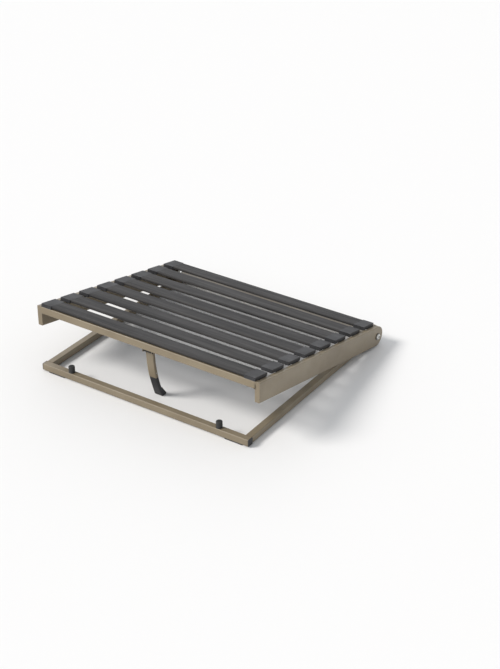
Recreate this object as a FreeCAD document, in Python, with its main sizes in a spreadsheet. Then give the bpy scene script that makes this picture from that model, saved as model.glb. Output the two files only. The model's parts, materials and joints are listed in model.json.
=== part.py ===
"""Mattress leg raiser: an inclined slatted platform that lies under a mattress and is hinged to a low
base frame at the head end. One curved prop under the foot-end bar holds it up.

Frame of the model: +X across the bed, +Y towards the head, +Z up, millimetres. The origin is at the
middle of the base frame, on the surface that the raiser stands on. Each platform piece is laid out with
the platform flat, and its Placement then tilts it about the hinge line.
"""

import FreeCAD, Part
import math
import os
import re

import Sketcher

V = FreeCAD.Vector
SIZES = (
    ("frame_width", 740, "across the outer faces of the side rails"),
    ("frame_length", 672, "base frame, foot end to head end"),
    ("base_tube", 20, "side of the square tube of the base frame"),
    ("base_wall", 1.5, "wall of the base frame's tube"),
    ("base_half_width", 347, "middle plane to the outer face of a base rail"),
    ("pad_thick", 3, "rubber pad under the base frame"),
    ("pad_length", 60, "rubber pad, across the bed"),
    ("bar_size", 20, "side of the front bar's square tube"),
    ("head_bar_height", 16, "height of the head bar's tube"),
    ("rail_depth", 60, "height of a side rail"),
    ("rail_width", 15, "thickness of a side rail"),
    ("rail_wall", 1.5, "wall of the side rails and of both bars"),
    ("end_slope", 12, "degrees that a rail's foot end leans when flat, so that it is upright when raised"),
    ("corner", 2, "outer corner radius of every tube"),
    ("cap_thick", 2, "plate of a rail's end cap or of a crossbar's plug"),
    ("insert_length", 9, "part of a cap or plug inside its tube"),
    ("insert_gap", 0.2, "room around that part"),
    ("hinge_setback", 32, "hinge line to the head end of the base frame"),
    ("ear_thick", 4, "hinge ear plate"),
    ("ear_radius", 12, "rounded top of the ear, about the hinge line"),
    ("bolt_radius", 5, "shank of the hinge and pivot bolts"),
    ("bolt_head_radius", 9, "dome head of those bolts"),
    ("bolt_head_height", 4, "dome head of those bolts"),
    ("hinge_bolt_length", 32.5, "hinge bolt under its head"),
    ("socket_radius", 3.4, "hexagon socket of the bolts, to its corners"),
    ("socket_depth", 2.2, "hexagon socket of the bolts"),
    ("nut_radius", 9.3, "nut, to its corners"),
    ("nut_thick", 7, "nut"),
    ("run_gap", 0.05, "radial clearance of a turning fit"),
    ("side_gap", 0.3, "clearance between faces that turn past each other"),
    ("bush_radius", 7, "hinge bush, outside"),
    ("flange_radius", 10, "hinge bush flange"),
    ("flange_thick", 1.2, "hinge bush flange"),
    ("slat_count", 8, "slats in the platform"),
    ("slat_width", 54, "slat, along the bed"),
    ("slat_thick", 8, "slat"),
    ("slat_pitch", 82, "slat to slat"),
    ("slat_round", 2.5, "long edges of a slat"),
    ("slat_play", 0.5, "slat end to the plate of its holder"),
    ("holder_wall", 2, "wall of a slat holder above and below the slat"),
    ("holder_plate", 4, "plate across the holder's outer end"),
    ("holder_sleeve", 30, "length of slat that a holder takes in"),
    ("holder_gap", 0.2, "room around the slat in its holder"),
    ("tab_width", 26, "tab of a holder on the inner face of the side rail"),
    ("tab_drop", 14, "tab below the top of the side rail"),
    ("tab_shift", 10, "middle of the slat to the middle of the tab, towards the head"),
    ("pivot_setback", 13, "prop pivot behind the front bar's back face"),
    ("pivot_drop", 3, "prop pivot below the front bar's underside"),
    ("bracket_width", 32, "over the bracket's cheeks"),
    ("bracket_wall", 2, "cheeks and web of the bracket"),
    ("cheek_radius", 12, "cheek round the pivot"),
    ("sleeve_radius", 8, "sleeve at the top of the prop"),
    ("sleeve_length", 25, "sleeve at the top of the prop"),
    ("stop_radius", 2.5, "stop pin between the cheeks"),
    ("stop_reach", 9.2, "stop pin ahead of the pivot"),
    ("stop_drop", 8.75, "stop pin below the pivot"),
    ("prop_drop", 166, "pivot to the sole, standing: it sets the platform's tilt"),
    ("prop_bend", 400, "bend radius of the prop's centre line"),
    ("prop_width", 25, "prop tube, across the bed"),
    ("prop_thick", 10, "prop tube, along the bed"),
    ("prop_wall", 1.5, "prop tube"),
    ("boot_angle", 13.9, "angle of the bend at which the foot begins"),
    ("boot_end_angle", 27, "angle of the bend at which the foot's core ends, below the sole"),
    ("spigot_angle", 4.5, "angle of the bend that the foot's spigot takes up in the tube"),
    ("rivet_angle", 11.6, "angle of the bend at which the rivet crosses"),
    ("rivet_radius", 1.5, "rivet through tube and spigot"),
    ("sole_heel", 30, "foot-end edge of the sole's wedge, from the pivot"),
    ("sole_toe", 48, "head-end tip of the sole, from the pivot"),
    ("toe_height", 5, "sole at its tip"),
    ("flare_height", 30, "top of the sole's wedge above the ground"),
    ("flare_back", 20, "foot-end corner of the wedge's top, from the pivot"),
    ("flare_front", 30, "head-end corner of the wedge's top, from the pivot"),
    ("sole_width", 27, "sole, across the bed"),
    ("buffer_radius", 9, "rubber buffer on the foot crossbar"),
    ("buffer_spread", 250, "middle plane to a buffer"),
    ("pad_spread", 300, "middle plane to a pad"),
)

ALIASES = {alias for alias, _, _ in SIZES}

doc = FreeCAD.newDocument("leg_raiser")
sheet = doc.addObject("Spreadsheet::Sheet", "sizes")
for row, (alias, value, note) in enumerate(SIZES, 1):
    sheet.set(f"A{row}", note)
    sheet.set(f"B{row}", str(value))
    sheet.setAlias(f"B{row}", alias)
doc.recompute()

nodes = []


def size(alias):
    """A driving dimension's value."""
    return float(sheet.get(alias))


def bound(expression):
    """Turns '-bar_size / 2' into '-sizes.bar_size / 2': each word that is an alias is looked up."""
    return re.sub("[a-z_]+", lambda word: "sizes." + word[0] if word[0] in ALIASES else word[0], expression)


# Helpers that build features inside a body


def new_body(label, placement):
    """A body that becomes one node."""
    body = doc.addObject("PartDesign::Body", label)
    body.Label = label
    body.Placement = placement
    nodes.append(body)
    return body


def plane(body, role):
    """One of the body's own origin planes."""
    return next(item for item in body.Origin.OriginFeatures if item.Role == role)


def new_sketch(body, role, turn=None):
    """A sketch on an origin plane. turn is a placement that shifts it from there."""
    sketch = body.newObject("Sketcher::SketchObject", body.Name + "_sketch")
    sketch.AttachmentSupport = [(plane(body, role), "")]
    sketch.MapMode = "FlatFace"
    if turn is not None:
        sketch.AttachmentOffset = turn
    return sketch


def hold(sketch, kind, *geometry, expression, start):
    """A dimension of a sketch, bound to the spreadsheet."""
    index = sketch.addConstraint(Sketcher.Constraint(kind, *geometry, start))
    name = f"d{index}"
    sketch.renameConstraint(index, name)
    sketch.setExpression("Constraints." + name, bound(expression))


def polygon(sketch, corners):
    """A closed outline. Each corner is two expressions, measured from the sketch's origin."""
    points = [V(evaluate(across), evaluate(up), 0) for across, up in corners]
    lines = []
    for start, end in zip(points, points[1:] + points[:1]):
        lines.append(sketch.addGeometry(Part.LineSegment(start, end), False))
    for line, following in zip(lines, lines[1:] + lines[:1]):
        sketch.addConstraint(Sketcher.Constraint("Coincident", line, 2, following, 1))
    for line, point, (across, up) in zip(lines, points, corners):
        hold(sketch, "DistanceX", -1, 1, line, 1, expression=across, start=point.x)
        hold(sketch, "DistanceY", -1, 1, line, 1, expression=up, start=point.y)


def evaluate(expression):
    """The value of an expression on the spreadsheet, used as a sketch's starting point."""
    return float(sheet.evalExpression(bound(expression)))


def rectangle(sketch, left, right, low, high):
    """A rectangle from four expressions."""
    polygon(sketch, ((left, low), (right, low), (right, high), (left, high)))


def centred(sketch, width, height):
    """A rectangle about the sketch's origin."""
    rectangle(sketch, f"-( {width} ) / 2", f"( {width} ) / 2", f"-( {height} ) / 2", f"( {height} ) / 2")


def circle(sketch, radius, across="0", up="0"):
    """A circle from expressions for its radius and its centre."""
    centre = V(evaluate(across), evaluate(up), 0)
    index = sketch.addGeometry(Part.Circle(centre, V(0, 0, 1), evaluate(radius)), False)
    hold(sketch, "Radius", index, expression=radius, start=evaluate(radius))
    hold(sketch, "DistanceX", -1, 1, index, 3, expression=across, start=centre.x)
    hold(sketch, "DistanceY", -1, 1, index, 3, expression=up, start=centre.y)


def pad(body, sketch, length, symmetric=True, reverse=False):
    """Adds the sketch's outline as a prism."""
    feature = body.newObject("PartDesign::Pad", body.Name + "_pad")
    return sized(feature, sketch, length, symmetric, reverse)


def pocket(body, sketch, length, symmetric=True, reverse=False):
    """Cuts the sketch's outline, and checks that it took something away."""
    before = body.Shape.Volume
    feature = body.newObject("PartDesign::Pocket", body.Name + "_pocket")
    sized(feature, sketch, length, symmetric, reverse)
    if body.Shape.Volume > before - 0.01:
        raise SystemExit(body.Label + ": a pocket cut nothing")
    return feature


def sized(feature, sketch, length, symmetric, reverse):
    """Sets what a pad and a pocket have in common."""
    feature.Profile = sketch
    feature.SideType = "Symmetric" if symmetric else "One side"
    feature.Reversed = reverse
    feature.setExpression("Length", bound(length))
    doc.recompute()
    return feature


def fillet(body, feature, radius, chosen):
    """Rounds the edges of a feature for which chosen(edge) is true."""
    names = [f"Edge{n}" for n, edge in enumerate(feature.Shape.Edges, 1) if chosen(edge)]
    rounding = body.newObject("PartDesign::Fillet", body.Name + "_fillet")
    rounding.Base = (feature, names)
    rounding.setExpression("Radius", bound(radius))
    doc.recompute()
    return rounding


def runs_along(edge, direction):
    """True for a straight edge along a direction."""
    run = edge.Vertexes[-1].Point - edge.Vertexes[0].Point
    return run.Length > 0.01 and run.cross(direction).Length < 0.001 * run.Length


def tube(label, role, width, height, wall, length, placement):
    """A rectangular tube along the normal of an origin plane, with rounded outer corners."""
    body = new_body(label, placement)
    sketch = new_sketch(body, role)
    centred(sketch, width, height)
    centred(sketch, f"{width} - 2 * {wall}", f"{height} - 2 * {wall}")
    solid = pad(body, sketch, length)
    normal = V(1, 0, 0) if role == "YZ_Plane" else V(0, 1, 0)
    reach = solid.Shape.BoundBox

    def is_corner(edge):
        middle = edge.CenterOfMass
        far_z = abs(abs(middle.z) - reach.ZMax) < 0.01
        across, far = (middle.y, reach.YMax) if normal.x else (middle.x, reach.XMax)
        far_side = abs(abs(across) - far) < 0.01
        return far_z and far_side and runs_along(edge, normal)

    fillet(body, solid, "corner", is_corner)
    return body


def turned(label, placement, *stages):
    """A turned piece along its own Z: each stage is add or cut, a radius, a start and a height."""
    body = new_body(label, placement)
    add_stages(body, stages)
    return body


def add_stages(body, stages):
    """Adds or cuts cylinders and hexagonal prisms along the body's Z."""
    for kind, radius, start, height in stages:
        feature = body.newObject("PartDesign::" + kind, body.Name + "_" + kind)
        feature.setExpression("Circumradius" if "Prism" in kind else "Radius", bound(radius))
        feature.setExpression("Height", bound(height))
        feature.setExpression("Placement.Base.z", bound(start))
        doc.recompute()


def group(label, members):
    """Joins identical fasteners as separate solids of one node."""
    compound = doc.addObject("Part::Compound", label)
    compound.Label = label
    compound.Links = members
    for member in members:
        nodes.remove(member)
    nodes.append(compound)


# Places that follow from the driving dimensions, with the platform flat

head_end = size("frame_length") / 2
hinge_y = head_end - size("hinge_setback")
rail_low = size("pad_thick")
hinge_z = rail_low + size("rail_depth") / 2
rail_top = rail_low + size("rail_depth")
rail_x = size("frame_width") / 2 - size("rail_width") / 2
inner_x = size("frame_width") / 2 - size("rail_width")
bar_y = -head_end + size("bar_size") / 2
bar_z = rail_top - size("bar_size") / 2
bar_back = -head_end + size("bar_size")
bar_low = rail_top - size("bar_size")
pivot = V(0, bar_back + size("pivot_setback"), bar_low - size("pivot_drop"))
base_z = size("pad_thick") + size("base_tube") / 2
base_top = size("pad_thick") + size("base_tube")
crossbar_y = head_end - size("base_tube") / 2
slat_z = rail_top + size("holder_wall") + size("slat_thick") / 2

hinge = V(0, hinge_y, hinge_z)
arm = pivot - hinge
arm_length = math.hypot(arm.y, arm.z)
tilt_degrees = math.degrees(math.asin((size("prop_drop") - hinge_z) / arm_length) - math.atan2(arm.z, -arm.y))
tilt = FreeCAD.Placement(V(0, 0, 0), FreeCAD.Rotation(V(-1, 0, 0), tilt_degrees), hinge)
standing_pivot = tilt.multVec(pivot)


def at(x, y, z, turn=None):
    """A placement on the base frame."""
    return FreeCAD.Placement(V(x, y, z), turn or FreeCAD.Rotation())


def tilted(x, y, z, turn=None):
    """A placement on the platform."""
    return tilt * at(x, y, z, turn)


ALONG_X = FreeCAD.Rotation(V(0, 1, 0), 90)
AGAINST_X = FreeCAD.Rotation(V(0, 1, 0), -90)
HALF_TURN = FreeCAD.Rotation(V(0, 0, 1), 180)
SIDES = (("left", -1), ("right", 1))


# Base frame


def base_frame():
    """Four tubes, plugs in the crossbars' open ends, rubber pads below and buffers on top."""
    rail_offset = size("base_half_width") - size("base_tube") / 2
    for name, side in SIDES:
        tube(f"base_rail_{name}", "XZ_Plane", "base_tube", "base_tube", "base_wall",
             "frame_length - 2 * base_tube", at(side * rail_offset, 0, base_z))
    plugs = []
    for end, y in (("foot", -crossbar_y), ("head", crossbar_y)):
        tube(f"{end}_crossbar", "YZ_Plane", "base_tube", "base_tube", "base_wall",
             "2 * base_half_width", at(0, y, base_z))
        for name, side in SIDES:
            turn = HALF_TURN if side < 0 else FreeCAD.Rotation()
            place = at(side * size("base_half_width"), y, base_z, turn)
            plugs.append(end_plug(f"{end}_plug_{name}", "base_tube", "base_tube", "base_wall", place))
            rubber_pad(f"{end}_pad_{name}", at(side * size("pad_spread"), y, 0))
    group("crossbar_plugs", plugs)
    for name, side in SIDES:
        buffer(f"buffer_{name}", at(side * size("buffer_spread"), -crossbar_y, base_top))


def end_plug(label, width, height, wall, placement):
    """A plate that covers a tube's end, with an insert inside the tube. It points along its own X."""
    body = new_body(label, placement)
    face = new_sketch(body, "YZ_Plane")
    centred(face, width, height)
    plate = pad(body, face, "cap_thick", symmetric=False)
    fillet(body, plate, "corner", lambda edge: runs_along(edge, V(1, 0, 0)))
    inner = new_sketch(body, "YZ_Plane")
    room = f"2 * {wall} - 2 * insert_gap"
    centred(inner, f"{width} - {room}", f"{height} - {room}")
    pad(body, inner, "insert_length", symmetric=False, reverse=True)
    return body


def rubber_pad(label, placement):
    """A flat rubber pad under a crossbar."""
    body = new_body(label, placement)
    face = new_sketch(body, "XY_Plane")
    centred(face, "pad_length", "base_tube - corner")
    plate = pad(body, face, "pad_thick", symmetric=False)
    fillet(body, plate, "2 * corner", lambda edge: runs_along(edge, V(0, 0, 1)))


def buffer(label, placement):
    """A round rubber buffer with a rounded top, just under the lowered front bar."""
    height = "rail_depth - bar_size - base_tube - side_gap"
    body = turned(label, placement, ("AdditiveCylinder", "buffer_radius", "0", height))
    top = evaluate(height)
    fillet(body, body.Tip, "corner", lambda edge: abs(edge.CenterOfMass.z - top) < 0.01)


# Hinge at the head end


def hinges():
    """On each side an ear on the base rail, a bolt, nut and spacer, and a bush in the side rail."""
    nuts = []
    spacers = []
    for name, side in SIDES:
        outwards = ALONG_X if side > 0 else AGAINST_X
        ear_face = size("base_half_width") + size("ear_thick")
        hinge_ear(f"hinge_ear_{name}", at(side * (ear_face - size("ear_thick") / 2), hinge_y, hinge_z))
        head_face = size("frame_width") / 2 + size("flange_thick") + size("side_gap")
        dome_bolt(f"hinge_bolt_{name}", "hinge_bolt_length", at(side * head_face, hinge_y, hinge_z, outwards))
        nuts.append(nut(f"hinge_nut_{name}", at(side * (ear_face - size("ear_thick") - size("nut_thick")),
                                                hinge_y, hinge_z, outwards)))
        spacers.append(turned(f"hinge_spacer_{name}", at(side * ear_face, hinge_y, hinge_z, outwards),
                              ("AdditiveCylinder", "bolt_head_radius", "0", SPACER),
                              ("SubtractiveCylinder", "bolt_radius", "0", SPACER)))
        turned(f"hinge_bush_{name}", tilted(side * inner_x, hinge_y, hinge_z, outwards),
               ("AdditiveCylinder", "bush_radius", "0", "rail_width"),
               ("AdditiveCylinder", "flange_radius", "rail_width", "flange_thick"),
               ("SubtractiveCylinder", "bolt_radius + run_gap", "0", "rail_width + flange_thick"))
    group("hinge_nuts", nuts)
    group("hinge_spacers", spacers)


SPACER = "frame_width / 2 - rail_width - base_half_width - ear_thick - side_gap"


def hinge_ear(label, placement):
    """A plate welded to the outer face of a base rail, round about the hinge line."""
    body = new_body(label, placement)
    foot = new_sketch(body, "YZ_Plane")
    rectangle(foot, "-ear_radius", "ear_radius", "-rail_depth / 2", "0")
    pad(body, foot, "ear_thick")
    top = new_sketch(body, "YZ_Plane")
    circle(top, "ear_radius")
    pad(body, top, "ear_thick")
    hole = new_sketch(body, "YZ_Plane")
    circle(hole, "bolt_radius")
    pocket(body, hole, "2 * ear_thick")


def dome_bolt(label, length, placement):
    """A dome-head bolt with a hexagon socket, its head's underside at its origin."""
    body = turned(label, placement, ("AdditiveCylinder", "bolt_head_radius", "0", "bolt_head_height"))
    top = size("bolt_head_height")
    fillet(body, body.Tip, "0.8 * bolt_head_height", lambda edge: abs(edge.CenterOfMass.z - top) < 0.01)
    add_stages(body, (
        ("AdditiveCylinder", "bolt_radius", f"-({length})", length),
        ("SubtractivePrism", "socket_radius", "bolt_head_height - socket_depth", "2 * socket_depth"),
    ))


def nut(label, placement):
    """A hexagon nut."""
    return turned(label, placement, ("AdditivePrism", "nut_radius", "0", "nut_thick"),
                  ("SubtractiveCylinder", "bolt_radius", "0", "nut_thick"))


# Platform


def platform_frame():
    """Two deep side rails with end caps, the front bar and the head bar."""
    corner = tilt.multVec(V(0, -head_end, rail_top))
    for name, side in SIDES:
        side_rail(f"side_rail_{name}", tilted(side * rail_x, hinge_y, hinge_z))
        cap_middle = corner.z - evaluate(CAP_HEIGHT) / 2
        rail_cap(f"rail_cap_{name}", at(side * rail_x, corner.y + size("cap_thick"), cap_middle))
    tube("front_bar", "YZ_Plane", "bar_size", "bar_size", "rail_wall",
         "frame_width - 2 * rail_width", tilted(0, bar_y, bar_z))
    tube("head_bar", "YZ_Plane", "bar_size", "head_bar_height", "rail_wall",
         "frame_width - 2 * rail_width", tilted(0, hinge_y, rail_top - size("head_bar_height") / 2))


CAP_HEIGHT = "rail_depth / cos( end_slope )"


def rail_cap(label, placement):
    """A plate welded over a side rail's foot end, upright when the platform is raised."""
    body = new_body(label, placement)
    face = new_sketch(body, "XZ_Plane")
    centred(face, "rail_width", CAP_HEIGHT)
    plate = pad(body, face, "cap_thick", symmetric=False)
    fillet(body, plate, "corner", lambda edge: runs_along(edge, V(0, 1, 0)))


def side_rail(label, placement):
    """A deep tube whose closed head end is round about the hinge line. The foot end is open for its cap."""
    front = "-( frame_length - hinge_setback - cap_thick / cos( end_slope ) )"
    front_low = front + " + rail_depth * tan( end_slope )"
    body = new_body(label, placement)
    long_side = new_sketch(body, "YZ_Plane")
    polygon(long_side, (
        (front_low, "-rail_depth / 2"),
        ("0", "-rail_depth / 2"),
        ("0", "rail_depth / 2"),
        (front, "rail_depth / 2"),
    ))
    pad(body, long_side, "rail_width")
    end = new_sketch(body, "YZ_Plane")
    circle(end, "rail_depth / 2")
    solid = pad(body, end, "rail_width")
    side_face = size("rail_width") / 2
    foot = evaluate(front_low)

    def is_rim(edge):
        middle = edge.CenterOfMass
        return abs(abs(middle.x) - side_face) < 0.01 and middle.y > foot

    fillet(body, solid, "corner", is_rim)
    hollow = new_sketch(body, "YZ_Plane")
    rectangle(hollow, front + " - corner", "0", "rail_wall - rail_depth / 2", "rail_depth / 2 - rail_wall")
    pocket(body, hollow, "rail_width - 2 * rail_wall")
    round_hollow = new_sketch(body, "YZ_Plane")
    circle(round_hollow, "rail_depth / 2 - rail_wall")
    pocket(body, round_hollow, "rail_width - 2 * rail_wall")
    hole = new_sketch(body, "YZ_Plane")
    circle(hole, "bush_radius")
    pocket(body, hole, "2 * rail_width")


HOLDER_HALF = "( slat_width / 2 + holder_wall )"
HOLDER_LOW = "-( slat_thick / 2 + holder_wall )"
SLAT_LENGTH = "( frame_width - 2 * ( rail_width + holder_plate + slat_play ) )"


def slats():
    """Flat slats on top of the platform, each in two plastic holders. The first lies over the front bar."""
    for number in range(int(size("slat_count"))):
        y = -head_end + evaluate(HOLDER_HALF) + number * size("slat_pitch")
        slat(f"slat_{number + 1}", tilted(0, y, slat_z))
        for name, side in SIDES:
            turn = HALF_TURN if side > 0 else FreeCAD.Rotation()
            offset = side * (inner_x - size("holder_plate"))
            slat_holder(f"slat_holder_{number + 1}_{name}", -side, tilted(offset, y, slat_z, turn))


def slat(label, placement):
    """One slat with rounded long edges, its ends rebated so that the holders are flush with its top."""
    body = new_body(label, placement)
    section = new_sketch(body, "YZ_Plane")
    centred(section, "slat_width", "slat_thick")
    board = pad(body, section, SLAT_LENGTH)
    fillet(body, board, "slat_round", lambda edge: runs_along(edge, V(1, 0, 0)))
    shoulder = f"{SLAT_LENGTH} / 2 + slat_play - holder_sleeve - holder_gap"
    rebates = new_sketch(body, "XZ_Plane")
    low = "slat_thick / 2 - holder_wall - holder_gap"
    rectangle(rebates, shoulder, f"{SLAT_LENGTH} / 2 + 1", low, "slat_thick")
    rectangle(rebates, f"-( {SLAT_LENGTH} / 2 + 1 )", f"-( {shoulder} )", low, "slat_thick")
    pocket(body, rebates, "2 * slat_width")


def slat_holder(label, headwards, placement):
    """A sleeve round the slat's end that points along its own X, and a plate with a tab on the side rail."""
    body = new_body(label, placement)
    plate = new_sketch(body, "YZ_Plane")
    rectangle(plate, f"-{HOLDER_HALF}", HOLDER_HALF, HOLDER_LOW, "slat_thick / 2")
    pad(body, plate, "holder_plate", symmetric=False, reverse=True)
    tab = new_sketch(body, "YZ_Plane")
    middle = f"{headwards} * tab_shift"
    rectangle(tab, f"{middle} - tab_width / 2", f"{middle} + tab_width / 2", f"{HOLDER_LOW} - tab_drop", "0")
    pad(body, tab, "holder_plate", symmetric=False, reverse=True)
    sleeve = new_sketch(body, "YZ_Plane")
    rectangle(sleeve, f"-{HOLDER_HALF}", HOLDER_HALF, HOLDER_LOW, "slat_thick / 2")
    room = "( slat_width / 2 + holder_gap )"
    rectangle(sleeve, f"-{room}", room, "-( slat_thick / 2 + holder_gap )", "slat_thick / 2 - holder_wall")
    pad(body, sleeve, "holder_sleeve", symmetric=False)


# Prop


def prop():
    """The bracket behind the front bar, and the curved prop that hangs in it."""
    x, y, z = pivot
    bracket("prop_bracket", tilted(x, y, z))
    half_bracket = size("bracket_width") / 2
    dome_bolt("pivot_bolt", "bracket_width + nut_thick", tilted(half_bracket, y, z, ALONG_X))
    nut("pivot_nut", tilted(-half_bracket, y, z, AGAINST_X))
    turned("stop_pin", tilted(-half_bracket, y - size("stop_reach"), z - size("stop_drop"), ALONG_X),
           ("AdditiveCylinder", "stop_radius", "0", "bracket_width"))
    washers = []
    for name, side in SIDES:
        outwards = ALONG_X if side > 0 else AGAINST_X
        start = side * (size("sleeve_length") / 2 + size("side_gap") / 2)
        washers.append(turned(f"pivot_washer_{name}", tilted(start, y, z, outwards),
                              ("AdditiveCylinder", "sleeve_radius", "0", WASHER),
                              ("SubtractiveCylinder", "bolt_radius", "0", WASHER)))
    group("pivot_washers", washers)
    standing = FreeCAD.Placement(standing_pivot, FreeCAD.Rotation())
    sleeve_start = V(-size("sleeve_length") / 2, 0, 0)
    turned("prop_sleeve", FreeCAD.Placement(standing_pivot + sleeve_start, ALONG_X),
           ("AdditiveCylinder", "sleeve_radius", "0", "sleeve_length"),
           ("SubtractiveCylinder", "bolt_radius + run_gap", "0", "sleeve_length"))
    prop_strut("prop_strut", standing)
    prop_foot("prop_foot", standing)
    rivet = bend_point(size("rivet_angle")) + V(-size("prop_width") / 2, 0, 0)
    turned("foot_rivet", FreeCAD.Placement(standing_pivot + rivet, ALONG_X),
           ("AdditiveCylinder", "rivet_radius", "0", "prop_width"))


WASHER = "( bracket_width - 2 * bracket_wall - sleeve_length ) / 2 - side_gap"


def bracket(label, placement):
    """A folded bracket: a web on the front bar's back face and two cheeks round the pivot."""
    top = "pivot_drop + bar_size / 2 + 1"
    body = new_body(label, placement)
    cheek = new_sketch(body, "YZ_Plane")
    polygon(cheek, (
        ("-pivot_setback", top),
        ("cheek_radius", top),
        ("cheek_radius", "0"),
        ("0", "-cheek_radius"),
        ("-stop_reach", "-( stop_drop + 2 * stop_radius )"),
        ("-pivot_setback", "-( stop_drop + stop_radius )"),
    ))
    pad(body, cheek, "bracket_width")
    rim = new_sketch(body, "YZ_Plane")
    circle(rim, "cheek_radius")
    pad(body, rim, "bracket_width")
    between = "bracket_width - 2 * bracket_wall"
    behind_web = new_sketch(body, "YZ_Plane")
    web_back = "bracket_wall - pivot_setback"
    rectangle(behind_web, web_back, "2 * cheek_radius", "-2 * cheek_radius", "2 * cheek_radius")
    pocket(body, behind_web, between)
    below_web = new_sketch(body, "YZ_Plane")
    rectangle(below_web, "-2 * pivot_setback", web_back + " + 1", "-2 * cheek_radius", "pivot_drop")
    pocket(body, below_web, between)
    for radius, across, up in (("bolt_radius", "0", "0"), ("stop_radius", "-stop_reach", "-stop_drop")):
        hole = new_sketch(body, "YZ_Plane")
        circle(hole, radius, across, up)
        pocket(body, hole, "2 * bracket_width")


def bend_point(angle):
    """The point of the prop's centre line at an angle of the bend, from the pivot."""
    turn = math.radians(angle)
    bend = size("prop_bend")
    return V(0, bend * (1 - math.cos(turn)), -bend * math.sin(turn))


def bend_plane(angle):
    """The shift from the horizontal plane through the pivot to the section at an angle of the bend."""
    centre = V(0, size("prop_bend"), 0)
    return FreeCAD.Placement(V(0, 0, 0), FreeCAD.Rotation(V(1, 0, 0), angle), centre)


def bent(body, outlines, angle, start_angle=0, reverse=False):
    """Adds a flat bar or tube along the prop's bend, from the section at start_angle."""
    section = new_sketch(body, "XY_Plane", bend_plane(start_angle))
    for width, thick in outlines:
        centred(section, width, thick)
    bend_line = Part.LineSegment(V(-10, size("prop_bend"), 0), V(10, size("prop_bend"), 0))
    index = section.addGeometry(bend_line, True)
    section.addConstraint(Sketcher.Constraint("Horizontal", index))
    hold(section, "DistanceY", -1, 1, index, 1, expression="prop_bend", start=size("prop_bend"))
    feature = body.newObject("PartDesign::Revolution", body.Name + "_bend")
    feature.Profile = section
    feature.ReferenceAxis = (section, ["Axis0"])
    feature.setExpression("Angle", bound(angle))
    feature.Reversed = reverse
    doc.recompute()
    return feature


def soften(body, feature):
    """Rounds the long outer edges of a bent tube or bar."""
    side_face = size("prop_width") / 2

    def is_long(edge):
        return abs(abs(edge.CenterOfMass.x) - side_face) < 0.01 and edge.Length > size("prop_width")

    fillet(body, feature, "corner", is_long)


def prop_strut(label, placement):
    """The bent tube, its top fitted round the sleeve."""
    body = new_body(label, placement)
    inside = ("prop_width - 2 * prop_wall", "prop_thick - 2 * prop_wall")
    soften(body, bent(body, (("prop_width", "prop_thick"), inside), "boot_angle"))
    for radius, across, up in (
        ("sleeve_radius", "0", "0"),
        ("rivet_radius", "prop_bend * ( 1 - cos( rivet_angle ) )", "-prop_bend * sin( rivet_angle )"),
    ):
        hole = new_sketch(body, "YZ_Plane")
        circle(hole, radius, across, up)
        pocket(body, hole, "2 * prop_width")


def prop_foot(label, placement):
    """The moulded foot: a spigot in the tube, a core that goes on with the bend, and a flared flat sole."""
    body = new_body(label, placement)
    core = bent(body, (("prop_width", "prop_thick"),), "boot_end_angle - boot_angle", size("boot_angle"))
    soften(body, core)
    room = "2 * prop_wall - 2 * insert_gap"
    spigot = (f"prop_width - {room}", f"prop_thick - {room}")
    bent(body, (spigot,), "spigot_angle", size("boot_angle"), reverse=True)
    wedge = new_sketch(body, "YZ_Plane")
    polygon(wedge, (
        ("sole_heel", "-prop_drop"),
        ("sole_toe", "-prop_drop"),
        ("sole_toe", "toe_height - prop_drop"),
        ("flare_front", "flare_height - prop_drop"),
        ("flare_back", "flare_height - prop_drop"),
    ))
    pad(body, wedge, "sole_width")
    ground = new_sketch(body, "YZ_Plane")
    rectangle(ground, "0", "2 * sole_toe", "-2 * prop_drop", "-prop_drop")
    pocket(body, ground, "2 * prop_width")
    hole = new_sketch(body, "YZ_Plane")
    circle(hole, "rivet_radius", "prop_bend * ( 1 - cos( rivet_angle ) )", "-prop_bend * sin( rivet_angle )")
    pocket(body, hole, "2 * prop_width")


def check_and_write():
    """Stops on any failed object or shape, then writes each node's STEP file."""
    doc.recompute()
    for item in doc.Objects:
        if "Invalid" in item.State or "Error" in item.State:
            raise SystemExit(f"{item.Label} failed: {item.State}")
    for node in nodes:
        if node.Shape.isNull() or not node.Shape.isValid():
            raise SystemExit(f"{node.Label} has no valid shape")
    os.makedirs("parts", exist_ok=True)
    for node in nodes:
        node.Shape.exportStep(f"parts/{node.Label}.step")
    print(f"{len(nodes)} nodes, tilt {tilt_degrees:.3f} degrees")
    print(f"hinge at {tuple(hinge)}, standing pivot at {tuple(standing_pivot)}")


base_frame()
hinges()
platform_frame()
slats()
prop()
check_and_write()
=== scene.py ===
"""The looks of the mattress leg raiser: materials on its CAD pieces, the pieces that Blender adds, a plain
pale studio and the camera. Metres throughout, in the frame of the CAD model."""

import json
import math

import bmesh
import bpy
from mathutils import Matrix, Vector, noise


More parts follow.
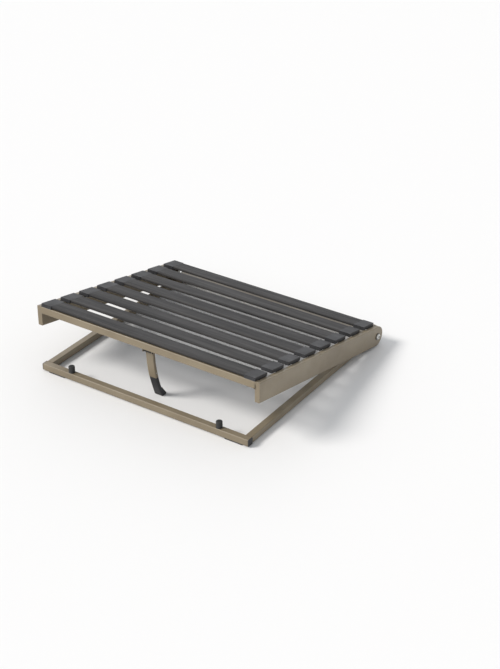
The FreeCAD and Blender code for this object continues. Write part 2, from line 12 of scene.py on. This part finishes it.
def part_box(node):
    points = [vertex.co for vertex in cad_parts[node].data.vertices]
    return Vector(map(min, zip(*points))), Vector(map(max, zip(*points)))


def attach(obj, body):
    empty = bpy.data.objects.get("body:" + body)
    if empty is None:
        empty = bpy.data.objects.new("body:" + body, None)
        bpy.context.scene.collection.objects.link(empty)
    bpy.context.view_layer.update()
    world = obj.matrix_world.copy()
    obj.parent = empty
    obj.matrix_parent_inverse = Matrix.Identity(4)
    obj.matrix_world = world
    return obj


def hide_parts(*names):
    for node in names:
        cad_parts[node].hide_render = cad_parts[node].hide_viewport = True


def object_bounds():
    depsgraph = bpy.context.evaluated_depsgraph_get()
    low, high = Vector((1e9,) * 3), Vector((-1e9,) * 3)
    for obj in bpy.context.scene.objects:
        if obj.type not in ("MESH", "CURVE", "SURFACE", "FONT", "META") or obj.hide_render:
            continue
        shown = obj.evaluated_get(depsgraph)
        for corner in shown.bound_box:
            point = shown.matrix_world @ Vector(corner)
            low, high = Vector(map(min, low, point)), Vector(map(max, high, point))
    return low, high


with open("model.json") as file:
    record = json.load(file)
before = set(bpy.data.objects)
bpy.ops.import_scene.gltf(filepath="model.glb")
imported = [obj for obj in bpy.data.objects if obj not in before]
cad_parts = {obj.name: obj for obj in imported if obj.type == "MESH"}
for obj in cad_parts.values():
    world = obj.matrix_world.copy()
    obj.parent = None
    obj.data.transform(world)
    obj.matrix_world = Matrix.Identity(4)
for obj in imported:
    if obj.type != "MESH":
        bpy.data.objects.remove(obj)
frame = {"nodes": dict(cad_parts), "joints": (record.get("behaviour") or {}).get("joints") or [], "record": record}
cad_box = [list(corner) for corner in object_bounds()]
nodes = frame["nodes"]
slots = {item["node"]: item["material_slot"] for item in frame["record"]["subparts"]}
joints = {joint["name"]: joint for joint in frame["joints"]}

MM = 0.001
support = next(mount for mount in frame["record"]["mounts"] if mount["name"] == "mattress_support")
TILT = math.atan2(support["axis"][1], support["axis"][2])
HINGE = Vector(joints["platform_tilt"]["pos_m"])
PIVOT = Vector(joints["prop_swing"]["pos_m"])
PROP_THICK = 10 * MM
RIPPLE_LENGTH = 2.2 * MM
BAR_BEAD = 1.5 * MM
SLEEVE_BEAD = 1.2 * MM
CORNER_BEAD = 1.6 * MM
EAR_BEAD = 1.4 * MM


# Materials


class Material:
    """Builds one node material. Every texture reads object coordinates, which are the row frame in metres."""

    def __init__(self, name, tilt=0.0):
        self.material = bpy.data.materials.new(name)
        self.material.use_nodes = True
        self.tree = self.material.node_tree
        self.shader = self.tree.nodes["Principled BSDF"]
        source = self.tree.nodes.new("ShaderNodeTexCoord")
        self.position = source.outputs["Object"]
        if tilt:
            turn = self.node("ShaderNodeMapping", Vector=self.position)
            turn.inputs["Rotation"].default_value = (tilt, 0, 0)
            self.position = turn.outputs["Vector"]

    def node(self, kind, settings=None, **inputs):
        """Adds a node. A keyword names an input; its value is a number, a colour or another node's output."""
        made = self.tree.nodes.new(kind)
        for key, value in (settings or {}).items():
            setattr(made, key, value)
        for key, value in inputs.items():
            self.feed(made.inputs[key.replace("_", " ")], value)
        return made

    def feed(self, socket, value):
        """Links an output to a socket, or sets the socket's own value."""
        if isinstance(value, bpy.types.NodeSocket):
            self.tree.links.new(value, socket)
        else:
            socket.default_value = value

    def noise(self, scale, detail=3.0, stretch=(1, 1, 1), roughness=0.5):
        """A noise value from 0 to 1, with scale in cycles a metre."""
        spread = self.node("ShaderNodeMapping", Vector=self.position)
        spread.inputs["Scale"].default_value = stretch
        made = self.node("ShaderNodeTexNoise", Vector=spread.outputs["Vector"], Scale=scale, Detail=detail)
        made.inputs["Roughness"].default_value = roughness
        return made.outputs["Fac"]

    def ramp(self, value, low, high, start=0.0, end=1.0):
        """Maps a value from low..high to start..end."""
        made = self.node("ShaderNodeMapRange", Value=value)
        limits = (("From Min", low), ("From Max", high), ("To Min", start), ("To Max", end))
        for key, number in limits:
            made.inputs[key].default_value = number
        return made.outputs["Result"]

    def maths(self, operation, first, second=0.0):
        """One arithmetic step."""
        made = self.node("ShaderNodeMath", {"operation": operation})
        self.feed(made.inputs[0], first)
        self.feed(made.inputs[1], second)
        return made.outputs["Value"]

    def mix(self, share, first, second):
        """Mixes two colours by a share that varies over the surface."""
        made = self.node("ShaderNodeMix", {"data_type": "RGBA"})
        for name, value in (("Factor_Float", share), ("A_Color", first), ("B_Color", second)):
            self.feed(next(s for s in made.inputs if s.identifier == name), value)
        return next(s for s in made.outputs if s.identifier == "Result_Color")

    def edges(self, radius):
        """1 along edges and 0 on flat stretches, from how far rounding turns the surface."""
        rounded = self.node("ShaderNodeBevel", {"samples": 4})
        rounded.inputs["Radius"].default_value = radius
        flat = self.node("ShaderNodeNewGeometry")
        made = self.node("ShaderNodeVectorMath", {"operation": "DOT_PRODUCT"})
        self.feed(made.inputs[0], rounded.outputs["Normal"])
        self.feed(made.inputs[1], flat.outputs["Normal"])
        return self.ramp(made.outputs["Value"], 0.995, 0.9)

    def corner_shade_and_dust(self, distance):
        """1 in occluded corners, and 0 in the open: a mask for painted shade in corners, and for dust that settles
        there.
        """
        made = self.node("ShaderNodeAmbientOcclusion", {"samples": 4})
        made.inputs["Distance"].default_value = distance
        return self.ramp(made.outputs["AO"], 0.75, 0.25)

    def softened(self, radius):
        """A normal that turns over sharp edges as if they were rounded."""
        rounded = self.node("ShaderNodeBevel", {"samples": 4})
        rounded.inputs["Radius"].default_value = radius
        return rounded.outputs["Normal"]

    def bump(self, height, strength, distance, after):
        """A bump whose height spans distance metres, on top of another normal."""
        made = self.node("ShaderNodeBump", Height=height, Strength=strength, Distance=distance)
        self.feed(made.inputs["Normal"], after)
        return made.outputs["Normal"]

    def finish(self, colour, roughness, normal, metallic=0.0, **uniform):
        """Feeds the shader. uniform values go on the shader's own sockets."""
        self.feed(self.shader.inputs["Base Color"], colour)
        self.feed(self.shader.inputs["Roughness"], roughness)
        self.feed(self.shader.inputs["Metallic"], metallic)
        self.feed(self.shader.inputs["Normal"], normal)
        for key, value in uniform.items():
            self.shader.inputs[key.replace("_", " ")].default_value = value
        return self.material


def enamel(name, light, deep):
    """Beige stove enamel on steel tube: orange peel, cloudy colour, painted shade in corners, thin worn edges."""
    make = Material(name)
    clouds = make.noise(9, 4)
    colour = make.mix(make.ramp(clouds, 0.3, 0.7), light, deep)
    specks = make.ramp(make.noise(420, 2), 0.70, 0.78, 0, 0.55)
    colour = make.mix(specks, colour, (0.20, 0.16, 0.11, 1))
    # painted shade: occluded corners and recesses darken towards deep brown
    colour = make.mix(make.maths("MULTIPLY", make.corner_shade_and_dust(0.02), 0.55), colour, (0.16, 0.125, 0.085, 1))
    patches = make.ramp(make.noise(60, 5), 0.52, 0.66)
    worn = make.maths("MULTIPLY", make.edges(0.0014), patches)
    colour = make.mix(make.maths("MULTIPLY", worn, 0.7), colour, (0.30, 0.28, 0.25, 1))
    smears = make.ramp(make.noise(30, 4, (0.25, 1, 1)), 0.3, 0.7, 0.34, 0.5)
    peel = make.bump(make.noise(700, 2), 0.22, 0.00012, make.softened(0.8 * MM))
    dents = make.bump(make.noise(45, 2), 0.25, 0.0004, peel)
    return make.finish(colour, smears, dents, Coat_Weight=0.25, Coat_Roughness=0.22, Specular_IOR_Level=0.5)


def stained_and_shaded_wood(name):
    """Dark stained laminated beech, its near-black tone partly stain and partly painted shade from a mattress on
    the slats: grain along the slat, pores, and thin layers that show on its edges.
    """
    make = Material(name, tilt=TILT)
    grain = make.noise(75, 6, (0.05, 1, 1), 0.62)
    figure = make.noise(14, 3, (0.12, 1, 1))
    mixed = make.maths("ADD", make.maths("MULTIPLY", grain, 0.65), make.maths("MULTIPLY", figure, 0.35))
    # the near-black range is partly the slats' stain and partly painted shade, as a mattress lying on them would
    # cast
    colour = make.mix(make.ramp(mixed, 0.36, 0.66), (0.013, 0.013, 0.014, 1), (0.046, 0.043, 0.042, 1))
    pores = make.ramp(make.noise(900, 2, (0.025, 1, 1)), 0.60, 0.70)
    colour = make.mix(make.maths("MULTIPLY", pores, 0.6), colour, (0.012, 0.010, 0.010, 1))
    axes = make.node("ShaderNodeSeparateXYZ", Vector=make.position)
    layers = make.maths("PINGPONG", axes.outputs["Z"], 0.0012)
    lines = make.ramp(layers, 0.0001, 0.0004, 0.45, 0)
    facing = make.node("ShaderNodeNewGeometry")
    upright = make.node("ShaderNodeSeparateXYZ", Vector=facing.outputs["Normal"])
    side = make.ramp(make.maths("ABSOLUTE", upright.outputs["Z"]), 0.7, 0.4)
    colour = make.mix(make.maths("MULTIPLY", lines, side), colour, (0.014, 0.011, 0.010, 1))
    worn = make.maths("MULTIPLY", make.edges(0.0012), make.ramp(make.noise(80, 4), 0.5, 0.65))
    colour = make.mix(make.maths("MULTIPLY", worn, 0.6), colour, (0.22, 0.17, 0.13, 1))
    height = make.maths("SUBTRACT", grain, make.maths("MULTIPLY", pores, 0.5))
    normal = make.bump(height, 0.35, 0.00035, make.softened(0.6 * MM))
    shine = make.ramp(grain, 0.3, 0.7, 0.66, 0.48)
    return make.finish(colour, shine, normal, Specular_IOR_Level=0.3, Coat_Weight=0.05, Coat_Roughness=0.35)


def moulded(name, tone, rough, texture=1100, strength=0.3):
    """Moulded plastic or rubber: eroded grain, uneven shine, and dust that greys its corners."""
    make = Material(name)
    light = tuple(min(1.0, channel * 1.7 + 0.006) for channel in tone) + (1,)
    colour = make.mix(make.ramp(make.noise(25, 4), 0.35, 0.7), tone + (1,), light)
    dust = make.maths("MULTIPLY", make.ramp(make.noise(140, 5), 0.5, 0.75), 0.22)
    dusty = tuple(channel * 0.6 + 0.07 for channel in tone) + (1,)
    colour = make.mix(dust, colour, dusty)
    scuffs = make.maths("MULTIPLY", make.edges(0.0012), make.ramp(make.noise(90, 4), 0.48, 0.7))
    colour = make.mix(make.maths("MULTIPLY", scuffs, 0.5), colour, dusty)
    normal = make.bump(make.noise(texture, 3), strength, 0.00015, make.softened(0.7 * MM))
    shine = make.ramp(make.noise(35, 3), 0.3, 0.7, rough - 0.08, rough + 0.08)
    return make.finish(colour, shine, normal, Specular_IOR_Level=0.45)


def nylon(name):
    """Turned dark nylon, with fine rings from the tool."""
    make = Material(name)
    clouds = make.ramp(make.noise(60, 3), 0.35, 0.65)
    colour = make.mix(clouds, (0.030, 0.029, 0.028, 1), (0.060, 0.058, 0.055, 1))
    rings = make.noise(1500, 2, (1, 0.05, 0.05))
    colour = make.mix(make.maths("MULTIPLY", make.corner_shade_and_dust(0.004), 0.6), colour, (0.10, 0.09, 0.08, 1))
    normal = make.bump(rings, 0.25, 0.0001, make.softened(0.3 * MM))
    return make.finish(colour, make.ramp(rings, 0.3, 0.7, 0.40, 0.52), normal)


def plated(name, light, deep):
    """Plated steel: a crystalline, slightly brushed metal with stains and painted shade in its corners."""
    make = Material(name)
    crystals = make.node("ShaderNodeTexVoronoi", Vector=make.position, Scale=650.0)
    tone = make.ramp(crystals.outputs["Distance"], 0.1, 0.7)
    colour = make.mix(tone, deep, light)
    stain = make.ramp(make.noise(180, 4), 0.58, 0.75, 0, 0.5)
    dull = tuple(channel * share for channel, share in zip(deep, (0.68, 0.60, 0.46))) + (1,)
    colour = make.mix(stain, colour, dull)
    # painted shade: occluded corners darken to about a quarter of the deep tone
    corner = tuple(channel * 0.28 for channel in deep[:3]) + (1,)
    colour = make.mix(make.corner_shade_and_dust(0.004), colour, corner)
    brush = make.noise(500, 3, (0.2, 1, 1))
    normal = make.bump(brush, 0.2, 0.0001, make.softened(0.3 * MM))
    return make.finish(colour, make.ramp(brush, 0.3, 0.7, 0.28, 0.46), normal, metallic=1.0)


LIGHT_BEIGE = (0.245, 0.200, 0.132, 1)
DEEP_BEIGE = (0.185, 0.145, 0.090, 1)

finishes = {
    "frame_paint": enamel("frame_enamel", LIGHT_BEIGE, DEEP_BEIGE),
    "base_paint": enamel("base_enamel", LIGHT_BEIGE, DEEP_BEIGE),
    "slat_wood": stained_and_shaded_wood("stained_and_shaded_slat_wood"),
    "holder_plastic": moulded("holder_grain", (0.016, 0.016, 0.018), 0.48),
    "plug_plastic": moulded("plug_grain", (0.018, 0.018, 0.019), 0.45),
    "foot_rubber": moulded("foot_rubber_grain", (0.012, 0.012, 0.014), 0.55, 800, 0.35),
    "pad_rubber": moulded("pad_rubber_grain", (0.022, 0.022, 0.022), 0.66, 900, 0.4),
    "bearing_nylon": nylon("turned_nylon"),
    "hardware": plated("zinc_plate", (0.68, 0.68, 0.65, 1), (0.50, 0.50, 0.49, 1)),
}
# painted shade: the stop pin's near-black plate stands in for the shade below the front bar, where the pin sits
blackened_as_shade = plated("black_plate_as_shade", (0.060, 0.060, 0.062, 1), (0.035, 0.035, 0.037, 1))


def dress(piece, slot):
    """Gives a piece its slot's material on every face."""
    piece.data.materials.clear()
    piece.data.materials.append(finishes[slot])


for name, node in nodes.items():
    for place in node.material_slots:
        place.material = blackened_as_shade if name == "stop_pin" else finishes[slots[name]]


# Pieces that Blender adds


def new_piece(name, build, body, slot):
    """A mesh piece from build(bmesh), riding on a body, with smooth faces."""
    mesh = bpy.data.meshes.new(name)
    shape = bmesh.new()
    build(shape)
    bmesh.ops.recalc_face_normals(shape, faces=shape.faces)
    shape.to_mesh(mesh)
    shape.free()
    mesh.polygons.foreach_set("use_smooth", [True] * len(mesh.polygons))
    piece = bpy.data.objects.new(name, mesh)
    bpy.context.scene.collection.objects.link(piece)
    dress(piece, slot)
    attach(piece, body)


def weld(name, start, end, radius, body, slot):
    """A fillet weld along a corner: a bead with the ripples that its puddle leaves."""
    run = end - start
    ripples = max(3, round(run.length / RIPPLE_LENGTH))
    rings_each = 4
    count = ripples * rings_each
    sides = 10
    along = run.normalized()
    across = along.cross(Vector((0.3, 0.5, 0.8))).normalized()
    other = along.cross(across)

    def build(shape):
        rings = []
        for index in range(count + 1):
            share = index / count
            ripple = abs(math.sin(math.pi * index / rings_each))
            taper = min(1.0, 5 * share, 5 * (1 - share)) * 0.35 + 0.65
            wander = 1 + 0.08 * noise.noise(start * 900 + along * index)
            size = radius * taper * wander * (0.88 + 0.12 * ripple)
            middle = start + run * share
            ring = []
            for side in range(sides):
                turn = 2 * math.pi * side / sides
                spoke = math.cos(turn) * across + math.sin(turn) * other
                ring.append(shape.verts.new(middle + size * spoke))
            rings.append(ring)
        for first, second in zip(rings, rings[1:]):
            for side in range(sides):
                following = (side + 1) % sides
                shape.faces.new((first[side], first[following], second[following], second[side]))
        shape.faces.new(rings[0])
        shape.faces.new(rings[-1])

    new_piece(name, build, body, slot)


def turned(point, angle):
    """A point turned about the hinge line."""
    return HINGE + Matrix.Rotation(angle, 3, "X") @ (Vector(point) - HINGE)


def flat_box(name):
    """The low and high corner of a platform node, with the platform turned back to flat."""
    node = nodes[name]
    points = [turned(node.matrix_world @ vertex.co, TILT) for vertex in node.data.vertices]
    low = Vector(min(point[axis] for point in points) for axis in range(3))
    high = Vector(max(point[axis] for point in points) for axis in range(3))
    return low, high


# Smooth foot


def smooth_foot():
    """The foot with its core and sole blended into one moulded form."""
    source = nodes["prop_foot"]
    piece = bpy.data.objects.new("moulded_foot", source.data.copy())
    bpy.context.scene.collection.objects.link(piece)
    remesh = piece.modifiers.new("remesh", "REMESH")
    remesh.mode = "VOXEL"
    remesh.voxel_size = 1.1 * MM
    remesh.use_smooth_shade = True
    smooth = piece.modifiers.new("smooth", "SMOOTH")
    smooth.factor = 0.5
    smooth.iterations = 10
    depsgraph = bpy.context.evaluated_depsgraph_get()
    final = bpy.data.meshes.new_from_object(piece.evaluated_get(depsgraph))
    for vertex in final.vertices:
        vertex.co.z = max(vertex.co.z, 0.0)
    piece.modifiers.clear()
    piece.data = final
    dress(piece, "foot_rubber")
    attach(piece, "prop")
    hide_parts("prop_foot")


smooth_foot()


# Welds


def platform_weld(name, start, end):
    """A bead on the platform, from two points of the flat platform."""
    weld(name, turned(start, -TILT), turned(end, -TILT), BAR_BEAD, "platform", "frame_paint")


def bar_welds():
    """Beads between both bars and the side rails: under the bar, in its outer notch, and inside."""
    inset = 0.5 * MM
    for bar, inwards in (("front_bar", 1), ("head_bar", -1)):
        low, high = flat_box(bar)
        inner, outer = (high.y, low.y) if inwards > 0 else (low.y, high.y)
        below = low.z - 0.2 * MM
        inside = inner + inwards * 0.2 * MM
        notch = outer + inwards * 1.6 * MM
        for name, x, past_end in (
            ("left", low.x + inset, low.x - inset),
            ("right", high.x - inset, high.x + inset),
        ):
            top, bottom = high.z - 2 * MM, low.z + 2 * MM
            platform_weld(f"weld_{bar}_low_{name}", (x, low.y + 2 * MM, below), (x, high.y - 2 * MM, below))
            face_top, face_bottom = (past_end, notch, high.z - MM), (past_end, notch, low.z + MM)
            platform_weld(f"weld_{bar}_face_{name}", face_top, face_bottom)
            platform_weld(f"weld_{bar}_side_{name}", (x, inside, top), (x, inside, bottom))


def bracket_welds():
    """Beads where the bracket's cheeks meet the front bar's back face."""
    bracket_low, bracket_high = flat_box("prop_bracket")
    bar_low, bar_high = flat_box("front_bar")
    for name, x in (("left", bracket_low.x), ("right", bracket_high.x)):
        y = bar_high.y + 0.2 * MM
        platform_weld(f"weld_bracket_{name}", (x, y, bracket_high.z - MM), (x, y, bar_low.z + MM))


def sleeve_welds():
    """Beads along both sides of the saddle between the prop's tube and its sleeve."""
    low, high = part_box("prop_strut")
    sleeve_low, sleeve_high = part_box("prop_sleeve")
    sleeve_radius = (sleeve_high.z - sleeve_low.z) / 2
    z = PIVOT.z - math.sqrt(sleeve_radius ** 2 - (PROP_THICK / 2) ** 2) - 0.2 * MM
    for name, side in (("front", -1), ("back", 1)):
        y = PIVOT.y + side * (PROP_THICK / 2 + 0.7 * MM)
        start = Vector((low.x + 2 * MM, y, z))
        end = Vector((high.x - 2 * MM, y, z))
        weld(f"weld_sleeve_{name}", start, end, SLEEVE_BEAD, "prop", "frame_paint")


def base_welds():
    """Beads in the inner corners of the base frame, and up both edges of each hinge ear."""
    for name, side in (("left", -1), ("right", 1)):
        low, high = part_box(f"base_rail_{name}")
        inner, outer = (low.x, high.x) if side > 0 else (high.x, low.x)
        for end, y in (("foot", low.y), ("head", high.y)):
            top, bottom = Vector((inner, y, high.z - 2 * MM)), Vector((inner, y, low.z + 2 * MM))
            weld(f"weld_base_{end}_{name}", top, bottom, CORNER_BEAD, "base_frame", "base_paint")
        ear_low, ear_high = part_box(f"hinge_ear_{name}")
        x = outer + side * 0.3 * MM
        for edge, y in (("foot", ear_low.y), ("head", ear_high.y)):
            top, bottom = Vector((x, y, high.z - MM)), Vector((x, y, low.z + 2 * MM))
            weld(f"weld_ear_{edge}_{name}", top, bottom, EAR_BEAD, "base_frame", "base_paint")


bar_welds()
bracket_welds()
sleeve_welds()
base_welds()


# Studio


def soft_sun(name, source, strength, spread, colour=(1, 1, 1)):
    """A broad even light that comes from a direction, the same over the whole floor."""
    data = bpy.data.lights.new(name, "SUN")
    data.energy = strength
    data.angle = math.radians(spread)
    data.color = colour
    lamp = bpy.data.objects.new(name, data)
    lamp.rotation_euler = Vector(source).to_track_quat("Z", "Y").to_euler()
    bpy.context.scene.collection.objects.link(lamp)


def studio():
    """A pale floor, a pale sky and two soft lights, the main one ahead and to the left."""
    mesh = bpy.data.meshes.new("studio_floor")
    half = 60.0
    corners = ((-half, -half, 0), (half, -half, 0), (half, half, 0), (-half, half, 0))
    mesh.from_pydata(corners, [], [(0, 1, 2, 3)])
    floor = bpy.data.objects.new("studio_floor", mesh)
    floor.location.z = -0.0002
    bpy.context.scene.collection.objects.link(floor)
    pale = bpy.data.materials.new("pale_floor")
    pale.use_nodes = True
    shader = pale.node_tree.nodes["Principled BSDF"]
    shader.inputs["Base Color"].default_value = (0.86, 0.86, 0.86, 1)
    shader.inputs["Roughness"].default_value = 0.9
    mesh.materials.append(pale)
    world = bpy.data.worlds.new("studio_world")
    world.use_nodes = True
    sky = world.node_tree.nodes["Background"]
    sky.inputs["Color"].default_value = (0.95, 0.97, 1.0, 1)
    sky.inputs["Strength"].default_value = 0.62
    bpy.context.scene.world = world
    soft_sun("key", (-0.62, -0.62, 0.75), 2.5, 20, (1.0, 0.97, 0.93))
    soft_sun("back", (-0.5, 0.7, 0.5), 0.25, 40)


def camera():
    """The camera at the photograph's angle: to the right of the foot end and above, looking down."""
    azimuth = math.radians(33.7)
    elevation = math.radians(30.1)
    distance = 4.0
    shift_from_middle = Vector((0.2287, -0.1482, 0.1100))
    low, high = (Vector(corner) for corner in cad_box)
    aim = (low + high) / 2 + shift_from_middle
    back = Vector((math.sin(azimuth) * math.cos(elevation), -math.cos(azimuth) * math.cos(elevation),
                   math.sin(elevation)))
    data = bpy.data.cameras.new("camera")
    data.lens = 80.9
    data.clip_end = 200
    eye = bpy.data.objects.new("camera", data)
    eye.location = aim + back * distance
    eye.rotation_euler = (-back).to_track_quat("-Z", "Y").to_euler()
    bpy.context.scene.collection.objects.link(eye)
    bpy.context.scene.camera = eye


studio()
camera()
bpy.context.scene.view_settings.view_transform = "Standard"
